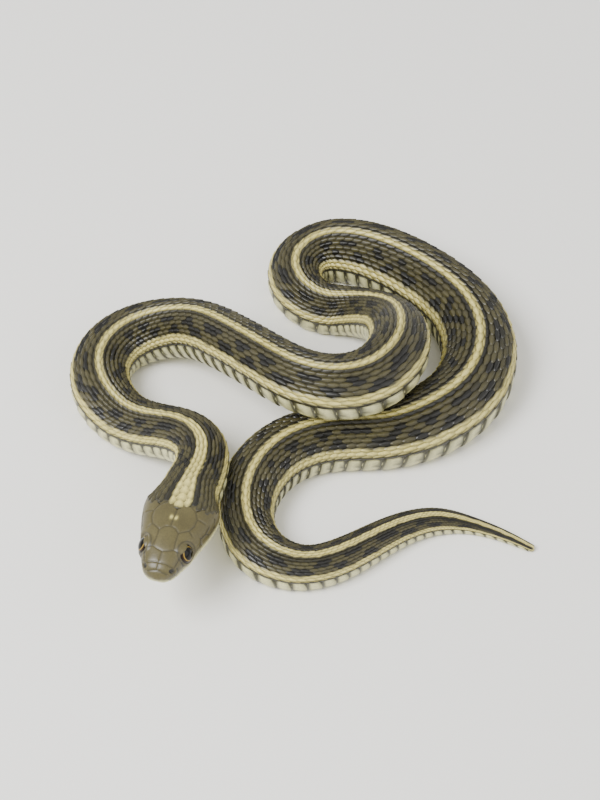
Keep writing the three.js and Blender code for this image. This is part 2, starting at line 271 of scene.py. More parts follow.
def set_map(piece, places):
    """A UV map from one place a vertex. A face over the cut along the belly keeps its corners
    together: those on the far side are moved a turn to its first corner's side."""
    corner = np.empty(len(piece.data.loops), dtype=np.int32)
    piece.data.loops.foreach_get("vertex_index", corner)
    sides = np.empty(len(piece.data.polygons), dtype=np.int32)
    piece.data.polygons.foreach_get("loop_total", sides)
    at = places[corner]
    first = np.repeat(at[np.cumsum(sides) - sides, 0], sides)
    at[:, 0] += MAP_TURN * np.round(first - at[:, 0])
    piece.data.uv_layers.new(name="OFBake").data.foreach_set("uv", at.astype(np.float32).ravel())


def tube_faces(rings, around):
    """Quads between rings of points, then fans from the two poles, which come last."""
    k = np.arange(around)
    after = (k + 1) % around
    ring = np.arange(rings - 1)[:, None] * around
    last = (rings - 1) * around
    quads = np.stack([ring + k, ring + after, ring + after + around, ring + k + around], -1)
    front = np.stack([np.full(around, rings * around), after, k], -1)
    rear = np.stack([np.full(around, rings * around + 1), last + k, last + after], -1)
    return [quads.reshape(-1, 4), front, rear]


def line_distance(x, y, lines):
    """Shortest distance from each point to any of some broken lines, given in millimetres."""
    best = np.full(x.shape, np.inf)
    for line in lines:
        points = MM * np.array(line)
        for (x0, y0), (x1, y1) in zip(points[:-1], points[1:]):
            run = (x1 - x0) ** 2 + (y1 - y0) ** 2
            t = np.clip(((x - x0) * (x1 - x0) + (y - y0) * (y1 - y0)) / run, 0, 1)
            best = np.minimum(best, np.hypot(x - x0 - t * (x1 - x0), y - y0 - t * (y1 - y0)))
    return best


# Borders of the head's shields, in millimetres: (out from the midline, back from the lips) on
# the crown and the chin, and (back from the lips, up from the widest line) on the side.
CROWN_SEAMS = [
    [(0, 1), (1.5, 0.85), (2.9, 0.9), (3.5, 1.3)],
    [(0, 1), (0, 5.4)],
    [(0, 2.6), (1.6, 2.6), (3.2, 2.5), (3.9, 2.6)],
    [(0, 5.4), (1.4, 5.8), (2.7, 6.4), (3.6, 6.2), (4.5, 6.1)],
    [(2.7, 6.4), (2.5, 8.6), (2.5, 11.1)],
    [(0, 12.6), (1.3, 12.3), (2.5, 11.1), (3.7, 12.1), (4.8, 12.9), (5.8, 12)],
    [(4.8, 12.9), (5.6, 15), (5.7, 17), (4.7, 18.9), (3.2, 20.1), (1.5, 20.1), (0, 18.7)],
    [(0, 12.6), (0, 18.7)],
    [(3.9, 2.6), (4.3, 4.3), (4.5, 6.1)],
    [(5.7, 17), (7.6, 17.2)],
    [(4.7, 18.9), (5.9, 20.6), (7.2, 21.2)],
]
MOUTH_LINE = [
    (-2, -1.5), (0, -1.5), (4, -2.3), (8, -2.9), (12, -3.1), (17, -3.2), (21, -2.6), (24, -1.9),
]
LIP_TOP = [
    (0.9, -0.3), (3.2, -0.5), (5.2, -0.8), (7, -1.2), (9.2, -1.3), (12, -1), (17, -0.7), (24, 0.4),
]
SIDE_SEAMS = [
    LIP_TOP,
    [(3.3, -0.5), (3.4, 2.6)], [(2.2, 0.4), (2.3, -0.4)], [(2.2, 1.9), (2.3, 2.8)],
    [(5, -0.8), (5.1, 2.9)],
    [(11.3, -1), (11.5, 0.7), (12.9, 1), (13.5, 2.4), (12.4, 3.9)],
    [(12.9, 1), (13.7, -0.9)],
    [(13.4, 2.1), (15.6, 1.9), (17.6, 2.4), (18.6, 4)],
    [(15.6, 1.9), (16.8, 0.6), (16.6, -0.7)],
    [(16.8, 0.6), (19.2, 0.9), (20.6, 2.2), (20.4, 4.2)],
    [(19.2, 0.9), (20.4, -0.2)],
]
CHIN_SEAMS = [
    [(0, 0.8), (0, 15.5)],
    [(0.9, 2), (1.9, 3.6), (2.3, 6.5), (2.5, 9.2), (1.9, 10.6), (0, 10.2)],
    [(2.5, 9.2), (2.9, 12.5), (2.2, 15.4), (0, 15.5)],
]
UPPER_LIP_SPLITS = [1.2, 3, 5, 7.2, 9.8, 12.8, 16.4, 20.4]
UPPER_LIP_LEAN = 0.15
LOWER_LIP_SPLITS = [2, 3.9, 6.2, 9, 12.2, 15.8, 19.6]
LOWER_LIP_LEAN = 0.3
LOWER_LIP_DEPTH = 1.9


def mouth_height(back):
    """Height of the line of the mouth over the widest line, at a distance from the lips."""
    return read_table(MM * np.array(MOUTH_LINE, dtype=float), back)


def lip_seams():
    """Upright seams between the lip shields, from the mouth to the upper lip's top and down over
    the lower lip, and the lower lip's own border, a fixed depth under the mouth."""
    lines = []
    top_back, top_up = np.array(LIP_TOP).T
    for back in UPPER_LIP_SPLITS:
        mouth = mouth_height(back * MM) / MM
        lines.append([(back, mouth), (back + UPPER_LIP_LEAN, np.interp(back, top_back, top_up))])
    for back in LOWER_LIP_SPLITS:
        mouth = mouth_height(back * MM) / MM
        lines.append([(back, mouth), (back + LOWER_LIP_LEAN, mouth - LOWER_LIP_DEPTH)])
    lines.append([(back, mouth_height(back * MM) / MM - LOWER_LIP_DEPTH)
                  for back, _ in MOUTH_LINE[1:]])
    return lines


# Where the shields give way to scales: on the nape behind the crown, and further back on the
# cheeks and the throat.
SHIELDS_END = 19.3 * MM
CHEEKS_END_LATER = 4.6 * MM
CHEEKS_FROM, CHEEKS_TO = np.radians(30), np.radians(85)
SHIELDS_FADE_OVER = 2.2 * MM


def head_share(along, angle):
    """1 on the shields, 0 where scales grow, and a smooth step between them."""
    end = SHIELDS_END + CHEEKS_END_LATER * smoothstep(np.abs(angle), CHEEKS_FROM, CHEEKS_TO)
    return 1 - smoothstep(along, end, end + SHIELDS_FADE_OVER)


EYE = {"radius": 3.0 * MM, "back": 8.2 * MM, "out": 4.0 * MM, "up": 1.05 * MM}
EYE_LOOKS = np.array((0.84, -0.20, 0.50))


def eye_axis(side):
    """Where an eye looks, in the head's own across, back and up."""
    return unit(EYE_LOOKS * (side, 1, 1))


def eye_centre(side):
    """Middle of an eye's ball, in the head's own across, back and up."""
    return np.array((side * EYE["out"], EYE["back"], head_middle(EYE["back"]) + EYE["up"]))


# The skin's own grid: rings crowd towards the snout, where the shape is finest.
HEAD_RINGS = 176
HEAD_RINGS_END = 34 * MM
SNOUT_CROWDING = 1.25
BODY_RINGS = 250
FIRST_RING = 0.02 * MM
LAST_RING_SHORT = 0.4 * MM
ROUND = 224
ring_at = np.r_[np.linspace(0, 1, HEAD_RINGS) ** SNOUT_CROWDING * HEAD_RINGS_END,
                np.linspace(HEAD_RINGS_END, BODY_LENGTH - LAST_RING_SHORT, BODY_RINGS)[1:]]
ring_at[0] = FIRST_RING
turns = np.linspace(0, 2 * np.pi, ROUND, endpoint=False)
skin_along, skin_angle = np.meshgrid(ring_at, turns, indexing="ij")
skin_angle = np.where(skin_angle > np.pi, skin_angle - 2 * np.pi, skin_angle)
on_head = head_share(skin_along, skin_angle)
across, up_by = section(skin_along, skin_angle)
out_across, out_up = section_out(skin_along, skin_angle)
over_middle = up_by - head_middle(skin_along)

# The parts of the head, by how steeply the surface faces up or down.
CROWN_FACES_UP = (0.45, 0.62)
CHIN_FACES_DOWN = (0.55, 0.75)
FLAT_CHIN_FACES_DOWN = (0.86, 0.95)
is_crown = smoothstep(out_up, *CROWN_FACES_UP)
is_chin = smoothstep(-out_up, *CHIN_FACES_DOWN)
is_flat_chin = smoothstep(-out_up, *FLAT_CHIN_FACES_DOWN)
is_side = (1 - is_crown) * (1 - is_chin)

# Each shield swells a little and ends at a narrow groove. A seam that belongs to another part of
# the head is put out of reach.
SEAM_WIDTH = 0.17 * MM
SEAM_DEPTH = 0.15 * MM
SHIELD_CROWN = 0.10 * MM
SHIELD_ROUNDS_OVER = 0.5 * MM
OUT_OF_REACH = 2 * MM
seam_groups = (
    (np.abs(across), skin_along, CROWN_SEAMS, 1 - is_crown),
    (np.abs(across), skin_along, CHIN_SEAMS, 1 - is_chin),
    (skin_along, over_middle, SIDE_SEAMS, 1 - is_side),
    (skin_along, over_middle, lip_seams(), np.maximum(is_crown, is_flat_chin)),
)
seam = np.minimum.reduce([line_distance(x, y, lines) + elsewhere * OUT_OF_REACH
                          for x, y, lines, elsewhere in seam_groups])
groove = np.exp(-((seam / SEAM_WIDTH) ** 2)) * on_head
swell = SHIELD_CROWN * (1 - np.exp(-seam / SHIELD_ROUNDS_OVER)) * on_head

# The mouth is a closed groove, and the lower jaw lies a little inside the upper lip.
MOUTH_ENDS = (23.4 * MM, 24.6 * MM)
MOUTH_WIDTH = 0.24 * MM
MOUTH_DEPTH = 0.5 * MM
JAW_SET_BACK = 0.25 * MM
JAW_SETS_BACK_OVER = 0.25 * MM
mouth_gap = over_middle - mouth_height(skin_along)
in_mouth = (1 - smoothstep(skin_along, *MOUTH_ENDS)) * (1 - is_crown)
lips = np.exp(-((mouth_gap / MOUTH_WIDTH) ** 2)) * in_mouth
jaw = smoothstep(-mouth_gap, 0.0, JAW_SETS_BACK_OVER) * in_mouth

height = (swell - SKIN_UNDER_SCALES * (1 - on_head) - SEAM_DEPTH * groove
          - MOUTH_DEPTH * lips - JAW_SET_BACK * jaw)
across = across + out_across * height
up_by = up_by + out_up * height
back_by = skin_along.copy()

# Each nostril is a round pit. Round each eye the skin is drawn along the line of sight to a rim
# just over the ball, and sinks under the ball inside it. The shield over the eye reaches past the
# rim and cuts the opening off straight.
NOSTRIL = {"radius": 0.72 * MM, "back": 2.1 * MM, "up": 1.3 * MM, "depth": 0.75 * MM}
EYE_OPENING = 2.45 * MM
EYE_RIM = 1.1 * MM
EYE_RIM_STANDS = 0.12 * MM
EYE_SOCKET = 0.6 * MM
EYE_SOCKET_SINKS_OVER = 0.45 * MM
BROW_CUT = 1.5 * MM
EYE_CREASE_SHADE = {"out": 0.6 * MM, "width": 0.16 * MM, "dark": 0.6}
EYE_EDGE_SHADE = (-0.1 * MM, 0.2 * MM)
nostril_painted_shade = np.zeros_like(across)
eye_painted_shade = np.zeros_like(across)
for side in (1, -1):
    aside = np.hypot(skin_along - NOSTRIL["back"], over_middle - NOSTRIL["up"])
    pit = np.where(across * side > 0, np.clip(1 - (aside / NOSTRIL["radius"]) ** 2, 0, 1), 0)
    across -= side * NOSTRIL["depth"] * pit
    # The pit is darkened with painted shade, most at its middle.
    nostril_painted_shade = np.maximum(nostril_painted_shade, pit)

    axis = eye_axis(side)
    reach = np.stack([across, back_by, up_by], -1) - eye_centre(side)
    ahead = reach @ axis
    aside = np.linalg.norm(reach - ahead[..., None] * axis, axis=-1)
    brow = unit(np.cross(axis, (0, side, 0)))
    browed = np.maximum(aside, reach @ brow * EYE_OPENING / BROW_CUT)
    ball = np.sqrt(EYE["radius"] ** 2 - np.minimum(aside, EYE_OPENING) ** 2)
    rim = ball + EYE_RIM_STANDS
    opened = 1 - smoothstep(browed, EYE_OPENING - EYE_SOCKET_SINKS_OVER, EYE_OPENING)
    eased = rim + (ahead - rim) * smoothstep(aside, EYE_OPENING, EYE_OPENING + EYE_RIM)
    target = np.where(aside < EYE_OPENING, rim - EYE_SOCKET * opened, eased)
    near_eye = (ahead > 0) & (aside < EYE_OPENING + EYE_RIM)
    move = np.where(near_eye, target - ahead, 0)
    across += move * axis[0]
    back_by += move * axis[1]
    up_by += move * axis[2]
    # Painted shade round each eye: a dark line along the crease just outside the opening, and dark
    # skin at the opening's edge and inside it.
    crease = np.exp(-(((aside - EYE_OPENING - EYE_CREASE_SHADE["out"]) / EYE_CREASE_SHADE["width"]) ** 2))
    edge = 1 - smoothstep(browed - EYE_OPENING, *EYE_EDGE_SHADE)
    eye_painted_shade = np.maximum(eye_painted_shade, np.where(near_eye, EYE_CREASE_SHADE["dark"] * crease + edge, 0))

NOSE_POLE_AHEAD = 0.12 * MM
NOSE_POLE_UNDER = 0.1 * MM
TAIL_POLE_UP = 0.35 * MM
origin, _, side_way, up = frames_at(back_by)
skin_points = origin + side_way * across[..., None] + up * up_by[..., None]
nose_tip, _, _, nose_up = frames_at(np.array(-NOSE_POLE_AHEAD))
nose_pole = nose_tip + nose_up * (head_middle(0) - NOSE_POLE_UNDER)
tail_tip, _, _, tail_up = frames_at(np.array(BODY_LENGTH))
tail_pole = tail_tip + tail_up * TAIL_POLE_UP
skin = make_mesh("skin", np.vstack([skin_points.reshape(-1, 3), nose_pole, tail_pole]),
                 tube_faces(len(ring_at), ROUND))


def with_poles(values):
    """Values of a tube's points, with the first and the last of them again for the two poles."""
    flat = values.reshape(-1, *values.shape[2:])
    return np.concatenate([flat, flat[:1], flat[-1:]])


ring_share = np.linspace(0, 1, len(ring_at))[:, None] * np.ones(ROUND)
set_map(skin, with_poles(unwrapped(skin_angle, ring_share)))

# The markings are grown into skin and scales alike: a pale stripe along the spine, edged in black,
# a pale stripe low on each flank, two rows of long black spots between them, and a pale belly.
# Heights on the flank are shares of the way to the belly's edge, which is 1.5 half-widths long.
BELLY_EDGE = np.radians(90)
FLANK_ARC = 1.5
RIGHT_SHIFT = 1.7
STRIPE_HALF = 0.85 * MM
NAPE_STRIPE_HALF = 1.55 * MM
NAPE = (34 * MM, 52 * MM)
STRIPE_NARROWS_UNDER = 7.5 * MM
STRIPE_NARROWING = 0.6
STRIPE_STARTS = (18.9 * MM, 19.3 * MM)
STRIPE_SOFT = 0.25 * MM
STRIPE_RIPPLE = {"height": 0.10 * MM, "phase": 0.4, "lengths": (5.3 * MM, 3.1 * MM)}
STRIPE_EDGE = {"out": 0.75 * MM, "width": 0.55 * MM, "dark": 0.9}
LOW_STRIPE = (0.67, 0.85)
LOW_STRIPE_SOFT = (0.045, 0.05)
LOW_STRIPE_STARTS = (25 * MM, 30 * MM)
LOW_STRIPE_RIPPLE = {"height": 0.022, "phase": 1.1, "lengths": (11 * MM, 6.5 * MM, 3.7 * MM)}
UPPER_RIPPLE_SHARE = 0.6
UNDER_LOW_STRIPE = {"soft": 0.03, "dark": 0.55}
SPOT_LENGTH = 9.5 * MM
SPOT_ROWS = (0.34, 0.56)
SPOT_HEIGHT = 0.085
SPOT_RIPPLE = {"height": 1.2, "phase": 0.8, "lengths": (41 * MM, 23 * MM)}
SPOT_SHIFT = 1.3 * RIGHT_SHIFT
SPOT_WOBBLE = {"height": 0.02, "rate": 0.37}
SPOT_EDGE = (0.30, 0.48)
SPOTS_START = (27 * MM, 36 * MM)
BELLY_STARTS = (1.02, 1.08)


def ripple(along, waves, shift=0.0):
    """A slow wander: a height times the mean of sines of a few lengths, each with its own multiple
    of a phase."""
    phase = waves["phase"] + shift
    sines = [np.sin(2 * np.pi * along / length + phase * (k + 1))
             for k, length in enumerate(waves["lengths"])]
    return waves["height"] * sum(sines) / len(sines)


def stripe_shapes(along, arc, is_right):
    """The stripe of the back and its dark edge, by the distance from the midline: 1 inside a
    half-width that wanders, is wider on the nape and narrows with the tail, and a bell curve just
    outside it."""
    nape = 1 - smoothstep(along, *NAPE)
    narrow = np.minimum(1, read_table(HALF_WIDTH, along) / STRIPE_NARROWS_UNDER)
    half = (STRIPE_HALF + (NAPE_STRIPE_HALF - STRIPE_HALF) * nape) * narrow**STRIPE_NARROWING
    half = half + ripple(along, STRIPE_RIPPLE, RIGHT_SHIFT * is_right)
    started = smoothstep(along, *STRIPE_STARTS)
    stripe = (1 - smoothstep(arc, half, half + STRIPE_SOFT)) * started
    edge = np.exp(-(((arc - half - STRIPE_EDGE["out"]) / STRIPE_EDGE["width"]) ** 2)) * started
    return stripe, edge * STRIPE_EDGE["dark"]


def flank_spots(along, round_by, is_right):
    """Rows of black spots: a squared cosine along the body times a bell curve across the row, cut
    off softly. The rows are half a spot apart and their spacing wanders."""
    spots = np.zeros_like(round_by)
    start = SPOT_SHIFT * is_right + ripple(along, SPOT_RIPPLE)
    for row, place in enumerate(SPOT_ROWS):
        phase = 2 * np.pi * along / SPOT_LENGTH + np.pi * row + start
        long_way = np.cos(phase / 2) ** 2
        middle = place + SPOT_WOBBLE["height"] * np.sin(SPOT_WOBBLE["rate"] * phase)
        tall_way = np.exp(-(((round_by - middle) / SPOT_HEIGHT) ** 2))
        spots = np.maximum(spots, smoothstep(long_way * tall_way, *SPOT_EDGE))
    return spots * smoothstep(along, *SPOTS_START)


def markings(along, angle):
    """Masks of the pattern at points of the body, each from 0 to 1: pale stripes, black pigment,
    pale belly, and the head's own brown. All edges are smooth steps of how far round the body a
    point lies, and the right side's pattern is shifted against the left's."""
    round_by = np.abs(angle) / BELLY_EDGE
    is_right = angle < 0
    arc = round_by * FLANK_ARC * read_table(HALF_WIDTH, along)
    stripe, edge = stripe_shapes(along, arc, is_right)
    wander = ripple(along, LOW_STRIPE_RIPPLE, RIGHT_SHIFT * is_right)
    low, high = LOW_STRIPE[0] + wander, LOW_STRIPE[1] + UPPER_RIPPLE_SHARE * wander
    low_stripe = (smoothstep(round_by, low, low + LOW_STRIPE_SOFT[0])
                  * (1 - smoothstep(round_by, high, high + LOW_STRIPE_SOFT[1]))
                  * smoothstep(along, *LOW_STRIPE_STARTS))
    belly = smoothstep(round_by, *BELLY_STARTS)
    under_low = smoothstep(round_by, high, high + UNDER_LOW_STRIPE["soft"]) * (1 - belly)
    dark = np.maximum.reduce([flank_spots(along, round_by, is_right), edge,
                              under_low * UNDER_LOW_STRIPE["dark"]])
    head = head_share(along, angle)
    return np.stack([np.maximum(stripe, low_stripe), dark * (1 - head), belly, head], -1)


# On the head the lips and the chin are pale, twin pale spots sit on the crown, and pigment
# darkens the borders between the shields. The mouth's groove, the nostrils and the creases round
# the eyes are darkened with painted shade.
LIPS_PALE_UNDER = (-1.3 * MM, 0.2 * MM)
CROWN_SPOT = {"back": 15.4 * MM, "out": 0.62 * MM, "long": 0.62 * MM, "wide": 0.34 * MM}
SEAM_DARK = 0.85
CROWN_SEAM_FAINTER = 0.45
NOSTRIL_SHADE_STRENGTH = 1.4
skin_marks = markings(skin_along, skin_angle)
lip_pale = np.where(mouth_gap > 0, 1 - smoothstep(over_middle, *LIPS_PALE_UNDER), 1)
lip_pale = np.maximum(lip_pale * (1 - is_crown), is_chin)
spot_along = (skin_along - CROWN_SPOT["back"]) / CROWN_SPOT["long"]
spot_across = (np.abs(across) - CROWN_SPOT["out"]) / CROWN_SPOT["wide"]
crown_spot = np.exp(-(spot_along**2 + spot_across**2)) * is_crown
skin_marks[..., 0] = np.maximum(skin_marks[..., 0] * (1 - on_head), crown_spot * on_head)
skin_marks[..., 2] = np.maximum(skin_marks[..., 2] * (1 - on_head), lip_pale * on_head)
dark_seams = SEAM_DARK * groove * (1 - CROWN_SEAM_FAINTER * is_crown)
# Painted shade in the mouth's groove and the nostrils' pits, with the dark pigment of the shields'
# borders.
dark_seams_and_shade = np.maximum.reduce([dark_seams, lips, nostril_painted_shade * NOSTRIL_SHADE_STRENGTH])
set_values(skin, "marks", with_poles(skin_marks))
# Dark pigment of the shields' borders, and painted shade in the mouth, the nostrils and round the
# eyes.
set_values(skin, "seams_and_painted_shade", with_poles(np.clip(dark_seams_and_shade + eye_painted_shade * on_head, 0, 1)))


def colour(hex_code):
    """Linear colour from an sRGB hex code."""
    value = np.array([int(hex_code[i:i + 2], 16) for i in (1, 3, 5)]) / 255
    linear = np.where(value <= 0.04045, value / 12.92, ((value + 0.055) / 1.055) ** 2.4)
    return (*linear, 1.0)


def add(tree, kind, settings=None, **links):
    """A node with its settings, and its inputs set to values or linked to sockets. An input is
    named with _ for a space, or numbered i0, i1 and so on."""
    node = tree.nodes.new("ShaderNode" + kind)
    for key, value in (settings or {}).items():
        setattr(node, key, value)
    for key, value in links.items():
        socket = node.inputs[int(key[1:]) if key[1:].isdigit() else key.replace("_", " ")]
        if isinstance(value, bpy.types.NodeSocket):
            tree.links.new(value, socket)
        else:
            socket.default_value = value
    return node


def blend_colours(tree, share, first, second, way="MIX"):
    """The second colour over the first by a share."""
    settings = {"data_type": "RGBA", "blend_type": way}
    return add(tree, "Mix", settings, i0=share, i6=first, i7=second).outputs[2]


def new_material(name):
    """An empty material and its node tree."""
    material = bpy.data.materials.new(name)
    material.use_nodes = True
    material.node_tree.nodes.clear()
    return material, material.node_tree


# Keratin, the horn of scales, shed and grown smooth over pigmented skin. It gives the eye a satin
# gloss that breaks up a little from place to place. Each pigment is a pair of tones that a cloud
# a few scales wide drifts between, and flecks finer than a scale darken it.
KERATIN_IOR = 1.54
PIGMENTS = {"back": ("#3d3820", "#514c2d"), "crown": ("#463f22", "#5f5732"),
            "stripe": ("#d8ca72", "#e4d88c"), "belly": ("#cfcd98", "#dfd9a4")}
BLACK_PIGMENT = "#0f0e0a"
CLOUD = 5.5 * MM
FLECK = 0.4 * MM
FLECK_NOISE = {"From_Min": 0.35, "From_Max": 0.7}
FLECK_BRIGHTNESS = {"To_Min": 0.82, "To_Max": 1.1}
GRAIN_HEIGHT = 0.08 * MM
GRAIN_STRENGTH = 0.25
CLOUD_NOISE = {"From_Min": 0.3, "From_Max": 0.7}
SMOOTHER, ROUGHER = 0.05, 0.07


def keratin(name, roughness, seam_and_shade_hex):
    """Reptile keratin. The masks come with the mesh as attributes: the pigments are laid over one
    another by them, then the dark of each seam together with painted shade, then the flecks."""
    material, tree = new_material(name)
    marks = add(tree, "Attribute", {"attribute_name": "marks"})
    split = add(tree, "SeparateColor", i0=marks.outputs["Color"])
    seams_and_painted_shade = add(tree, "Attribute", {"attribute_name": "seams_and_painted_shade"}).outputs["Fac"]
    place = add(tree, "TexCoord").outputs["Object"]
    fleck = add(tree, "TexNoise", Vector=place, Scale=1 / FLECK, Detail=3.0,
                Roughness=0.6).outputs["Fac"]
    cloud = add(tree, "TexNoise", Vector=place, Scale=1 / CLOUD, Detail=2.0).outputs["Fac"]
    tone = {part: blend_colours(tree, cloud, colour(dull), colour(light))
            for part, (dull, light) in PIGMENTS.items()}
    ground = blend_colours(tree, marks.outputs["Alpha"], tone["back"], tone["crown"])
    spotted = blend_colours(tree, split.outputs[1], ground, colour(BLACK_PIGMENT))
    striped = blend_colours(tree, split.outputs[0], spotted, tone["stripe"])
    whole = blend_colours(tree, split.outputs[2], striped, tone["belly"])
    # Dark seam pigment and painted shade in pits, creases, scale roots and plate laps, in one
    # colour.
    seamed_and_shaded = blend_colours(tree, seams_and_painted_shade, whole, colour(seam_and_shade_hex))
    speck = add(tree, "MapRange", Value=fleck, **FLECK_NOISE, **FLECK_BRIGHTNESS).outputs[0]
    grey = add(tree, "CombineColor", i0=speck, i1=speck, i2=speck).outputs[0]
    speckled = blend_colours(tree, 1.0, seamed_and_shaded, grey, "MULTIPLY")
    relief = add(tree, "Bump", Strength=GRAIN_STRENGTH, Distance=GRAIN_HEIGHT, Height=fleck)
    rough = add(tree, "MapRange", Value=cloud, **CLOUD_NOISE,
                To_Min=roughness - SMOOTHER, To_Max=roughness + ROUGHER)
    shader = add(tree, "BsdfPrincipled", Base_Color=speckled, Roughness=rough.outputs[0],
                 Normal=relief.outputs["Normal"], IOR=KERATIN_IOR)
    add(tree, "OutputMaterial", i0=shader.outputs[0])
    return material


skin.data.materials.append(keratin("head_keratin", 0.40, "#14120c"))
FLESH_NODES = [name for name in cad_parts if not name.startswith("eye_")]
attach(skin, "root")
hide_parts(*FLESH_NODES)

# The scales of the back: nineteen rows of narrow, pointed, keeled scales, from the nape to the tip
# of the tail. Each is a thin horny pocket of the outer skin, rooted at its front and lying over
# the next one. Rows are staggered by half a scale.
SCALE_ROWS = 19
FLANK_ROWS = SCALE_ROWS // 2
LAST_ROW_TO_EDGE = 0.9
ROW_STEP = BELLY_EDGE / (FLANK_ROWS + LAST_ROW_TO_EDGE)
PITCH_PER_WIDTH = 0.305
LEAST_PITCH = 0.75 * MM
SCALE_OVERLAP = 1.5
SCALE_ROW_STOPS = np.array([0.0, 0.14, 0.34, 0.56, 0.78, 0.93, 1.0])
SCALE_SIDE_STOPS = np.array([-1.0, -0.84, -0.2, 0.0, 0.2, 0.84, 1.0])
FULL_SIZE_AT = 8.5 * MM
LARGEST_SCALE = 1.15
TIP_LIFT = 0.36 * MM
ROOT_LIFT_SHARE = 0.12
SCALE_CAMBER = 0.08 * MM
KEEL = 0.19 * MM
KEEL_SHARE = 0.2
KEEL_GROWS_OVER = 0.25
RIM_SUNK = 0.12 * MM
NAPE_FLATNESS = 0.3
NAPE_SCALES_RISE = (21 * MM, 44 * MM)
HEAD_BROWN_ON_SCALES = 0.3
SCALE_PAINTED_SHADE = {"root": 0.5625, "root_ends": (0.18, 0.5), "side": 0.4125, "side_starts": (0.6, 1.0)}
PATCH = 0.003


def pitch_at(along):
    """Distance from one scale to the next in its row: a share of the half-width there."""
    return np.maximum(PITCH_PER_WIDTH * read_table(HALF_WIDTH, along), LEAST_PITCH)


count_along = np.r_[0, np.cumsum(np.diff(spine_along) / pitch_at(spine_along[1:]))]


def place_of(count):
    """Distance along the body at which a count of scales has been passed."""
    return np.interp(count, count_along, spine_along)


def count_of(along):
    """How many scales of one row have been passed at a distance along the body."""
    return np.interp(along, spine_along, count_along)


def size_at(along, largest):
    """How thick a scale or plate is there, as a share of one at full size: by the half-width."""
    return np.minimum(read_table(HALF_WIDTH, along) / FULL_SIZE_AT, largest)[:, None]


def leaf_width(t):
    """Half-width of a scale along its length, as a share: the sine of half a turn of t to the
    power 0.8, to the power 0.62. It rises fast from the root and comes to a blunt point."""
    return np.sin(np.pi * t**0.8) ** 0.62


def grid_quads(grid):
    """Quads of a grid of point numbers, seen from above with rows going back."""
    return np.stack([grid[:-1, :-1], grid[:-1, 1:], grid[1:, 1:], grid[1:, :-1]], -1).reshape(-1, 4)


def scale_faces(rows, cols, scales):
    """Faces of one closed scale, repeated: a top grid between a front and a rear point, and a
    bottom strip across it. The points come after the grid, and the bottom comes before the top,
    so that the top's colours lie over it on the map."""
    grid = np.arange(rows * cols).reshape(rows, cols)
    front, rear = rows * cols, rows * cols + 1
    under = np.stack([grid[:-1, -1], grid[:-1, 0], grid[1:, 0], grid[1:, -1]], -1)
    ends = np.array([(front, grid[0, 0], grid[0, -1]), (rear, grid[-1, -1], grid[-1, 0])]
                    + [(front, grid[0, k + 1], grid[0, k]) for k in range(cols - 1)]
                    + [(rear, grid[-1, k], grid[-1, k + 1]) for k in range(cols - 1)])
    step = (np.arange(scales) * (rows * cols + 2))[:, None, None]
    quads = (np.concatenate([under, grid_quads(grid)])[None] + step).reshape(-1, 4)
    return [quads, (ends[None] + step).reshape(-1, 3)]


def grow_scales(name, count, angle, half_angle, lift, keel, shade, material):
    """Scales at arrays of places. count is how many scales along and angle how far round, both at
    a scale's middle. A point at share t of the length and share b of the width lies at
    angle + b * half_angle * leaf_width(t). It is raised over the skin by a lift that grows with
    t and a camber of 1 - b^2, both less on the nape, and by a keel of 1 - |b| / KEEL_SHARE. The
    rim is sunk in the skin. The roots and sides are darkened with painted shade, and each scale
    gets its own random tone from shade."""
    t, b = np.meshgrid(SCALE_ROW_STOPS[1:-1], SCALE_SIDE_STOPS, indexing="ij")
    t = np.r_[t.ravel(), 0.0, 1.0]
    b = np.r_[b.ravel(), 0.0, 0.0]
    rim = (np.abs(b) == 1) | (t == 0) | (t == 1)
    middle = place_of(count)
    along = place_of(count[:, None] + (t - 0.5) * SCALE_OVERLAP)
    turn = angle[:, None] + b * leaf_width(t) * half_angle[:, None]
    risen = NAPE_FLATNESS + (1 - NAPE_FLATNESS) * smoothstep(middle, *NAPE_SCALES_RISE)
    tilt = lift * (ROOT_LIFT_SHARE + (1 - ROOT_LIFT_SHARE) * t) + SCALE_CAMBER * (1 - b**2)
    ridge = np.maximum(0, 1 - np.abs(b) / KEEL_SHARE) * np.minimum(1, t / KEEL_GROWS_OVER)
    high = (tilt * risen[:, None] + keel[:, None] * ridge) * size_at(middle, LARGEST_SCALE)
    high = np.where(rim, -RIM_SUNK, high)
    share = head_share(along, turn)
    points = on_body(along, turn, high + SHIELD_CROWN * share - SKIN_UNDER_SCALES * (1 - share))
    rows, cols = len(SCALE_ROW_STOPS) - 2, len(SCALE_SIDE_STOPS)
    made = make_mesh(name, points.reshape(-1, 3), scale_faces(rows, cols, len(count)))

    # A scale is black or brown as a whole, and only the stripes' edges cross it.
    marks = markings(along, turn)
    marks[..., 1] = markings(middle, angle)[:, None, 1] * (1 - marks[..., 0])
    marks[..., 3] *= HEAD_BROWN_ON_SCALES
    set_values(made, "marks", marks.reshape(-1, 4))
    # Painted shade: darker at each scale's root, under the tip of the scale before, and along its
    # sides, where the neighbours lie over it.
    root = SCALE_PAINTED_SHADE["root"] * (1 - smoothstep(t, *SCALE_PAINTED_SHADE["root_ends"]))
    side = SCALE_PAINTED_SHADE["side"] * smoothstep(np.abs(b), *SCALE_PAINTED_SHADE["side_starts"])
    set_values(made, "seams_and_painted_shade", np.clip(root + side + shade[:, None], 0, 1).ravel())

    # Its patch of the map lies at its middle's place on the flattened skin.
    patch = PATCH * np.stack([0.5 * b * leaf_width(t), t - 0.5], -1)
    set_map(made, (unwrapped(angle, middle / BODY_LENGTH)[:, None] + patch).reshape(-1, 2))
    made.data.materials.append(material)
    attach(made, "root")


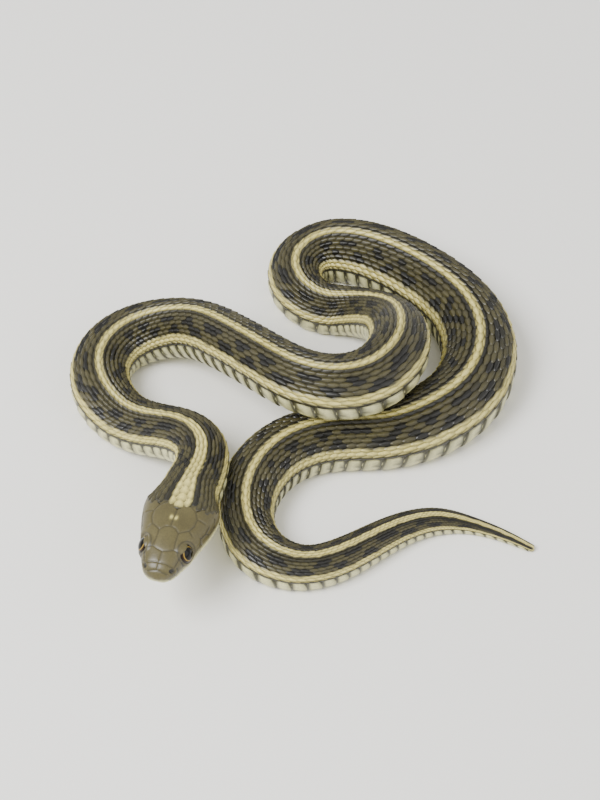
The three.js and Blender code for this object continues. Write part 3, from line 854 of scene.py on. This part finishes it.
# Where the rows begin behind the head, from the middle one outwards, and how scales vary.
NAPE_STARTS = MM * np.array([18.7, 19.6, 20.2, 20.2, 20, 20.4, 21.2, 22.2, 23.4, 24.4])
NAPE_STARTS_IN = 0.55
SCALES_END_SHORT = 1.2 * MM
SCALE_HALF = {"share": 0.62, "wider_by_row": 0.012, "varies": 0.03}
KEELS = {"middle": 1.15, "lower_by_row": 0.075, "least": 0.15, "most": 1, "varies": 0.1}
SHADE = {"varies": 0.05, "lightest": -0.08, "darkest": 0.12}
PLACE_VARIES = 0.03
BACK_PIECES = 4
scale_keratin = keratin("scale_keratin", 0.38, "#0c0b08")
random = np.random.default_rng(11)
last_count = count_of(BODY_LENGTH - SCALES_END_SHORT)
places = []
for row in range(-FLANK_ROWS, FLANK_ROWS + 1):
    half_step = 0.5 * (row % 2)
    start = np.round(count_of(NAPE_STARTS[abs(row)]) + NAPE_STARTS_IN - half_step)
    steps = np.arange(start, last_count) + half_step
    places.append(np.stack([steps, np.full(len(steps), row)]))
counts, rows = np.concatenate(places, axis=1)
jitter = random.normal(0, 1, (4, len(counts)))
order = np.argsort(counts)
counts, rows, jitter = counts[order], rows[order], jitter[:, order]
rows_out = np.abs(rows)
half_angles = (ROW_STEP * (SCALE_HALF["share"] + SCALE_HALF["wider_by_row"] * rows_out)
               * (1 + SCALE_HALF["varies"] * jitter[0]))
keels = (KEEL * np.clip(KEELS["middle"] - KEELS["lower_by_row"] * rows_out,
                        KEELS["least"], KEELS["most"])
         * (1 + KEELS["varies"] * jitter[1]))
shades = np.clip(SHADE["varies"] * jitter[2], SHADE["lightest"], SHADE["darkest"])
counts = counts + PLACE_VARIES * jitter[3]
for k, part in enumerate(np.array_split(np.arange(len(counts)), BACK_PIECES)):
    grow_scales(f"back_scales_{k + 1}", counts[part], rows[part] * ROW_STEP, half_angles[part],
                TIP_LIFT, keels[part], shades[part], scale_keratin)

# The belly plates: broad, smooth plates of horn from flank to flank, each lying over the next.
# They keep the pitch of the solid frame's own. Past the vent they are in pairs that meet on the
# midline. The undersides of all that lie on the floor are worn level.
VENT_AT = 425 * MM
# Where the lengths of the frame's body end. Between two of them the plates are spaced evenly.
LENGTHS_END = MM * np.array([31, 67, 93, 120, 153, 181, 208, 237, 262, 295, 328, 357, 389, 416,
                             438, 471])
SCUTE_PITCH = 0.56
LEAST_SCUTE = 3 * MM
BELLY_EDGE_TOP = np.radians(85)
BELLY_ROW_STOPS = np.array([0.0, 0.12, 0.3, 0.6, 0.86, 0.94, 1.0])
BELLY_COLUMNS = 37
TAIL_COLUMNS = 15
TAIL_PAIR_OVERLAP = 0.04
TAIL_STAGGER = 0.3 * MM
BELLY_OVERLAP = 0.14
BELLY_STARTS_AHEAD = 0.05
CORNERS_CUT = 0.25
REAR_STANDS = 0.33 * MM
REAR_STANDS_FROM = 0.75
LARGEST_PLATE = 1.1
PLATE_RIM_SUNK = 0.1 * MM
PLATE_SUNK = 0.25 * MM
INNER_SUNK = 0.5 * MM
FLOOR_GAP = 0.02 * MM
INNER_OVER_FLOOR = 0.2 * MM
LAP_SHADE = {"dark": 0.95, "rear": (0.8, 0.93), "front": (0.12, 0.28)}
TICK = {"place": 0.84, "width": 0.06, "fades": (0.2, 0.5)}
FLANK_DARK = {"dark": 0.85, "starts": (0.95, 0.99)}
DARKEST_LINE = 0.9
belly_keratin = keratin("belly_keratin", 0.33, "#1b1a12")


def scute_places():
    """Where each belly plate begins and how long it is: whole plates of about a share of the
    half-width, fitted evenly between the joins of the body's lengths."""
    begins, pitches = [], []
    ends = np.r_[LENGTHS_END, BODY_LENGTH - SCALES_END_SHORT]
    for start, end in zip(ends[:-1], ends[1:]):
        at, count = start, 0
        while at < end:
            at += max(LEAST_SCUTE, SCUTE_PITCH * read_table(HALF_WIDTH, at))
            count += 1
        pitch = (end - start) / count
        begins.append(start + pitch * np.arange(count))
        pitches.append(np.full(count, pitch))
    return np.concatenate(begins), np.concatenate(pitches)


def plate_faces(rows, cols, plates):
    """Faces of one closed plate, repeated: an inner grid turned over, a wall round the border and
    the outer grid, last so that its colours lie over the others on the map."""
    grid = np.arange(rows * cols).reshape(rows, cols)
    border = np.r_[grid[0, :], grid[1:, -1], grid[-1, -2::-1], grid[-2:0:-1, 0]]
    after = np.roll(border, -1)
    wall = np.stack([after, border, border + rows * cols, after + rows * cols], -1)
    outer = grid_quads(grid)
    faces = np.concatenate([outer[:, ::-1] + rows * cols, wall, outer])
    step = (np.arange(plates) * 2 * rows * cols)[:, None, None]
    return [(faces[None] + step).reshape(-1, 4)]


def grow_belly(name, begin, pitch, left, right, cols, is_whole):
    """Plates between two angles round the belly. A point at share t of the length and b of the
    way round is raised by a smooth step of t. The border is sunk in the skin and cut back at the
    corners by the sixth power of b, and an inner copy in the flesh closes each plate. Painted
    shade darkens each end where the plates lap, and the flank ends of whole plates and a small
    tick near them are dark."""
    t, b = np.meshgrid(BELLY_ROW_STOPS, np.linspace(-1, 1, cols), indexing="ij")
    t, b = t.ravel(), b.ravel()
    reach = (1 + BELLY_OVERLAP) * t * (1 - CORNERS_CUT * np.abs(b) ** 6) - BELLY_STARTS_AHEAD
    along = begin[:, None] + reach * pitch[:, None]
    turn = left + (right - left) * (b + 1) / 2 * np.ones_like(along)
    size = size_at(begin, LARGEST_PLATE)
    rim = (np.abs(b) == 1) | (t == 0) | (t == 1)
    high = REAR_STANDS * smoothstep(t, 0, REAR_STANDS_FROM) * size
    outer = on_body(along, turn, np.where(rim, -PLATE_RIM_SUNK, high) - PLATE_SUNK)
    inner = on_body(along, turn, -INNER_SUNK * size * np.ones_like(along))
    outer[..., 2] = np.maximum(outer[..., 2], FLOOR_GAP)
    inner[..., 2] = np.maximum(inner[..., 2], FLOOR_GAP + INNER_OVER_FLOOR)
    points = np.concatenate([outer, inner], axis=1)
    faces = plate_faces(len(BELLY_ROW_STOPS), cols, len(begin))
    made = make_mesh(name, points.reshape(-1, 3), faces)

    pale = np.tile((0.0, 0.0, 1.0, 0.0), (points[..., 0].size, 1))
    set_values(made, "marks", pale)
    # Painted shade at both ends of each plate, where it laps with its neighbours.
    lap = LAP_SHADE["dark"] * (smoothstep(t, *LAP_SHADE["rear"]) + 1
                              - smoothstep(t, *LAP_SHADE["front"]))
    tick = (np.exp(-(((np.abs(b) - TICK["place"]) / TICK["width"]) ** 2))
            * (1 - smoothstep(t, *TICK["fades"])))
    flank = FLANK_DARK["dark"] * smoothstep(np.abs(b), *FLANK_DARK["starts"])
    lines = np.maximum.reduce([lap, tick * is_whole, flank * is_whole])
    lines = np.clip(lines, 0, DARKEST_LINE)
    set_values(made, "seams_and_painted_shade", np.tile(lines, 2 * len(begin)))

    patch = np.tile(PATCH * np.stack([0.5 * b, t - 0.5], -1), (2, 1))
    root = unwrapped((left + right) / 2, (begin + pitch / 2) / BODY_LENGTH)
    set_map(made, (root[:, None] + patch).reshape(-1, 2))
    made.data.materials.append(belly_keratin)
    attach(made, "root")


plate_begins, plate_pitches = scute_places()
is_tail = plate_begins >= VENT_AT
left_flank, right_flank = BELLY_EDGE_TOP, 2 * np.pi - BELLY_EDGE_TOP
grow_belly("belly_plates", plate_begins[~is_tail], plate_pitches[~is_tail],
           left_flank, right_flank, BELLY_COLUMNS, True)
grow_belly("tail_plates_left", plate_begins[is_tail] - TAIL_STAGGER, plate_pitches[is_tail],
           left_flank, np.pi + TAIL_PAIR_OVERLAP, TAIL_COLUMNS, False)
grow_belly("tail_plates_right", plate_begins[is_tail], plate_pitches[is_tail],
           np.pi - TAIL_PAIR_OVERLAP, right_flank, TAIL_COLUMNS, False)

# The throat: small smooth scales between the chin's shields and the first belly plate, and under
# the corners of the jaw. They are of the belly's pale horn and grow as the back's scales do.
THROAT_STARTS = MM * np.array([17, 17.5, 19, 21.5, 24])
THROAT_END = 31.5 * MM
THROAT_SIDE_ROWS = len(THROAT_STARTS) - 1
THROAT_ROW_STEP = np.radians(18.5)
THROAT_HALF_ANGLE = np.radians(11.5)
THROAT_LIFT = 0.25 * MM
places = []
for row in range(-THROAT_SIDE_ROWS, THROAT_SIDE_ROWS + 1):
    steps = np.arange(count_of(THROAT_STARTS[abs(row)]), count_of(THROAT_END)) + 0.5 * (row % 2)
    places.append(np.stack([steps, np.full(len(steps), np.pi + row * THROAT_ROW_STEP)]))
counts, angles = np.concatenate(places, axis=1)
no_keel = no_shade = np.zeros(len(counts))
grow_scales("throat_scales", counts, angles, np.full(len(counts), THROAT_HALF_ANGLE), THROAT_LIFT,
            no_keel, no_shade, belly_keratin)

# The eyes: a dark, moist ball under a clear fixed scale, with no lids. The pupil is round and
# black, with a thin ring of gold about it and a brown iris, darker to the rim.
PUPIL = 1.62 * MM
PUPIL_SOFT = 0.05 * MM
GOLD_RING = 0.13 * MM
GOLD_FADES_OVER = 0.18 * MM
IRIS_DARKENS = (1.9 * MM, 2.3 * MM)
STREAK = MM / 3.5
BALL_ROUND = 48
BALL_RINGS = 32


def eye_surface():
    """Clear horn over an iris, as one wet, glossy ball that mirrors little: the distance from the
    line of sight, in millimetres, picks pupil, gold ring or iris, and fine noise mottles it."""
    material, tree = new_material("eye_gloss")
    aside = add(tree, "Attribute", {"attribute_name": "aside"}).outputs["Fac"]
    place = add(tree, "TexCoord").outputs["Object"]
    streak = add(tree, "TexNoise", Vector=place, Scale=1 / STREAK, Detail=2.0).outputs["Fac"]
    iris = blend_colours(tree, streak, colour("#1c1209"), colour("#3a2814"))
    gold_out = PUPIL + GOLD_RING
    layer = colour("#020202")
    for start, end, outward in (
        (PUPIL - PUPIL_SOFT, PUPIL + PUPIL_SOFT, colour("#8f7636")),
        (gold_out, gold_out + GOLD_FADES_OVER, iris),
        (*IRIS_DARKENS, colour("#120b06")),
    ):
        share = add(tree, "MapRange", {"interpolation_type": "SMOOTHSTEP"}, Value=aside,
                    From_Min=start / MM, From_Max=end / MM).outputs[0]
        layer = blend_colours(tree, share, layer, outward)
    shader = add(tree, "BsdfPrincipled", Base_Color=layer, Roughness=0.06, IOR=1.34)
    add(tree, "OutputMaterial", i0=shader.outputs[0])
    return material


eye_gloss = eye_surface()
for side, label in ((1, "left"), (-1, "right")):
    longitude, latitude = np.meshgrid(np.linspace(0, 2 * np.pi, BALL_ROUND, endpoint=False),
                                      np.linspace(0, np.pi, BALL_RINGS + 2)[1:-1])
    ball = np.stack([np.sin(latitude) * np.cos(longitude), np.sin(latitude) * np.sin(longitude),
                     np.cos(latitude)], -1).reshape(-1, 3)
    ball = np.vstack([ball, (0, 0, 1), (0, 0, -1)]) * EYE["radius"]
    axis = eye_axis(side)
    first = unit(np.cross(axis, (0, 0, 1)))
    turned = ball @ np.stack([first, np.cross(axis, first), axis])
    local = turned + eye_centre(side)
    origin, _, side_way, up = frames_at(local[:, 1])
    points = origin + side_way * local[:, :1] + up * local[:, 2:]
    faces = [part[:, ::-1] for part in tube_faces(BALL_RINGS, BALL_ROUND)]
    eye = make_mesh("eye_ball_" + label, points, faces)
    aside = np.where(ball[:, 2] > 0, np.hypot(ball[:, 0], ball[:, 1]), EYE["radius"])
    set_values(eye, "aside", aside / MM)
    eye.data.materials.append(eye_gloss)
    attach(eye, "root")
    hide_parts("eye_" + label)

# The studio: a pale matt floor, a large soft light over the left shoulder, a weaker one opposite,
# and an even pale sky. The camera looks down on the loops from in front.
FLOOR_HALF = 1.2
CAMERA_HEIGHT = np.radians(52)
CAMERA_AWAY = 0.8
LENS_MM = 135
SENSOR_MM = 36
NEAREST_SEEN = 0.01
LIGHTS = {
    "key_light": {"place": (-0.45, -0.25, 0.75), "size": 0.45, "power": 11.0},
    "fill_light": {"place": (0.7, -0.3, 0.55), "size": 0.8, "power": 2.2},
}
SKY_STRENGTH = 1.05
corners = FLOOR_HALF * np.array([(-1, -1, 0), (1, -1, 0), (1, 1, 0), (-1, 1, 0)])
floor = make_mesh("floor", corners, [np.array([(0, 1, 2, 3)])])
matt_paint, tree = new_material("matt_paint")
shader = add(tree, "BsdfPrincipled", Base_Color=colour("#f3f2ef"), Roughness=0.8)
add(tree, "OutputMaterial", i0=shader.outputs[0])
floor.data.materials.append(matt_paint)

camera_data = bpy.data.cameras.new("camera")
camera_data.lens = LENS_MM
camera_data.sensor_fit = "VERTICAL"
camera_data.sensor_height = SENSOR_MM
camera_data.clip_start = NEAREST_SEEN
camera = bpy.data.objects.new("camera", camera_data)
bpy.context.collection.objects.link(camera)
aim = np.array((*-PLAN_MIDDLE, 0.0))
camera.location = aim + CAMERA_AWAY * np.array((0, -np.cos(CAMERA_HEIGHT), np.sin(CAMERA_HEIGHT)))
camera.rotation_euler = (np.pi / 2 - CAMERA_HEIGHT, 0, 0)
bpy.context.scene.camera = camera

# Each lamp is square and faces the middle of the snake.
for name, light in LIGHTS.items():
    lamp_data = bpy.data.lights.new(name, "AREA")
    lamp_data.size = light["size"]
    lamp_data.energy = light["power"]
    lamp = bpy.data.objects.new(name, lamp_data)
    bpy.context.collection.objects.link(lamp)
    lamp.location = light["place"]
    away = unit(np.array(light["place"]))
    lamp.rotation_euler = (np.arccos(away[2]), 0, np.arctan2(away[1], away[0]) + np.pi / 2)

sky = bpy.data.worlds.new("sky")
sky.use_nodes = True
sky.node_tree.nodes["Background"].inputs["Color"].default_value = colour("#f4f3ee")
sky.node_tree.nodes["Background"].inputs["Strength"].default_value = SKY_STRENGTH
bpy.context.scene.world = sky
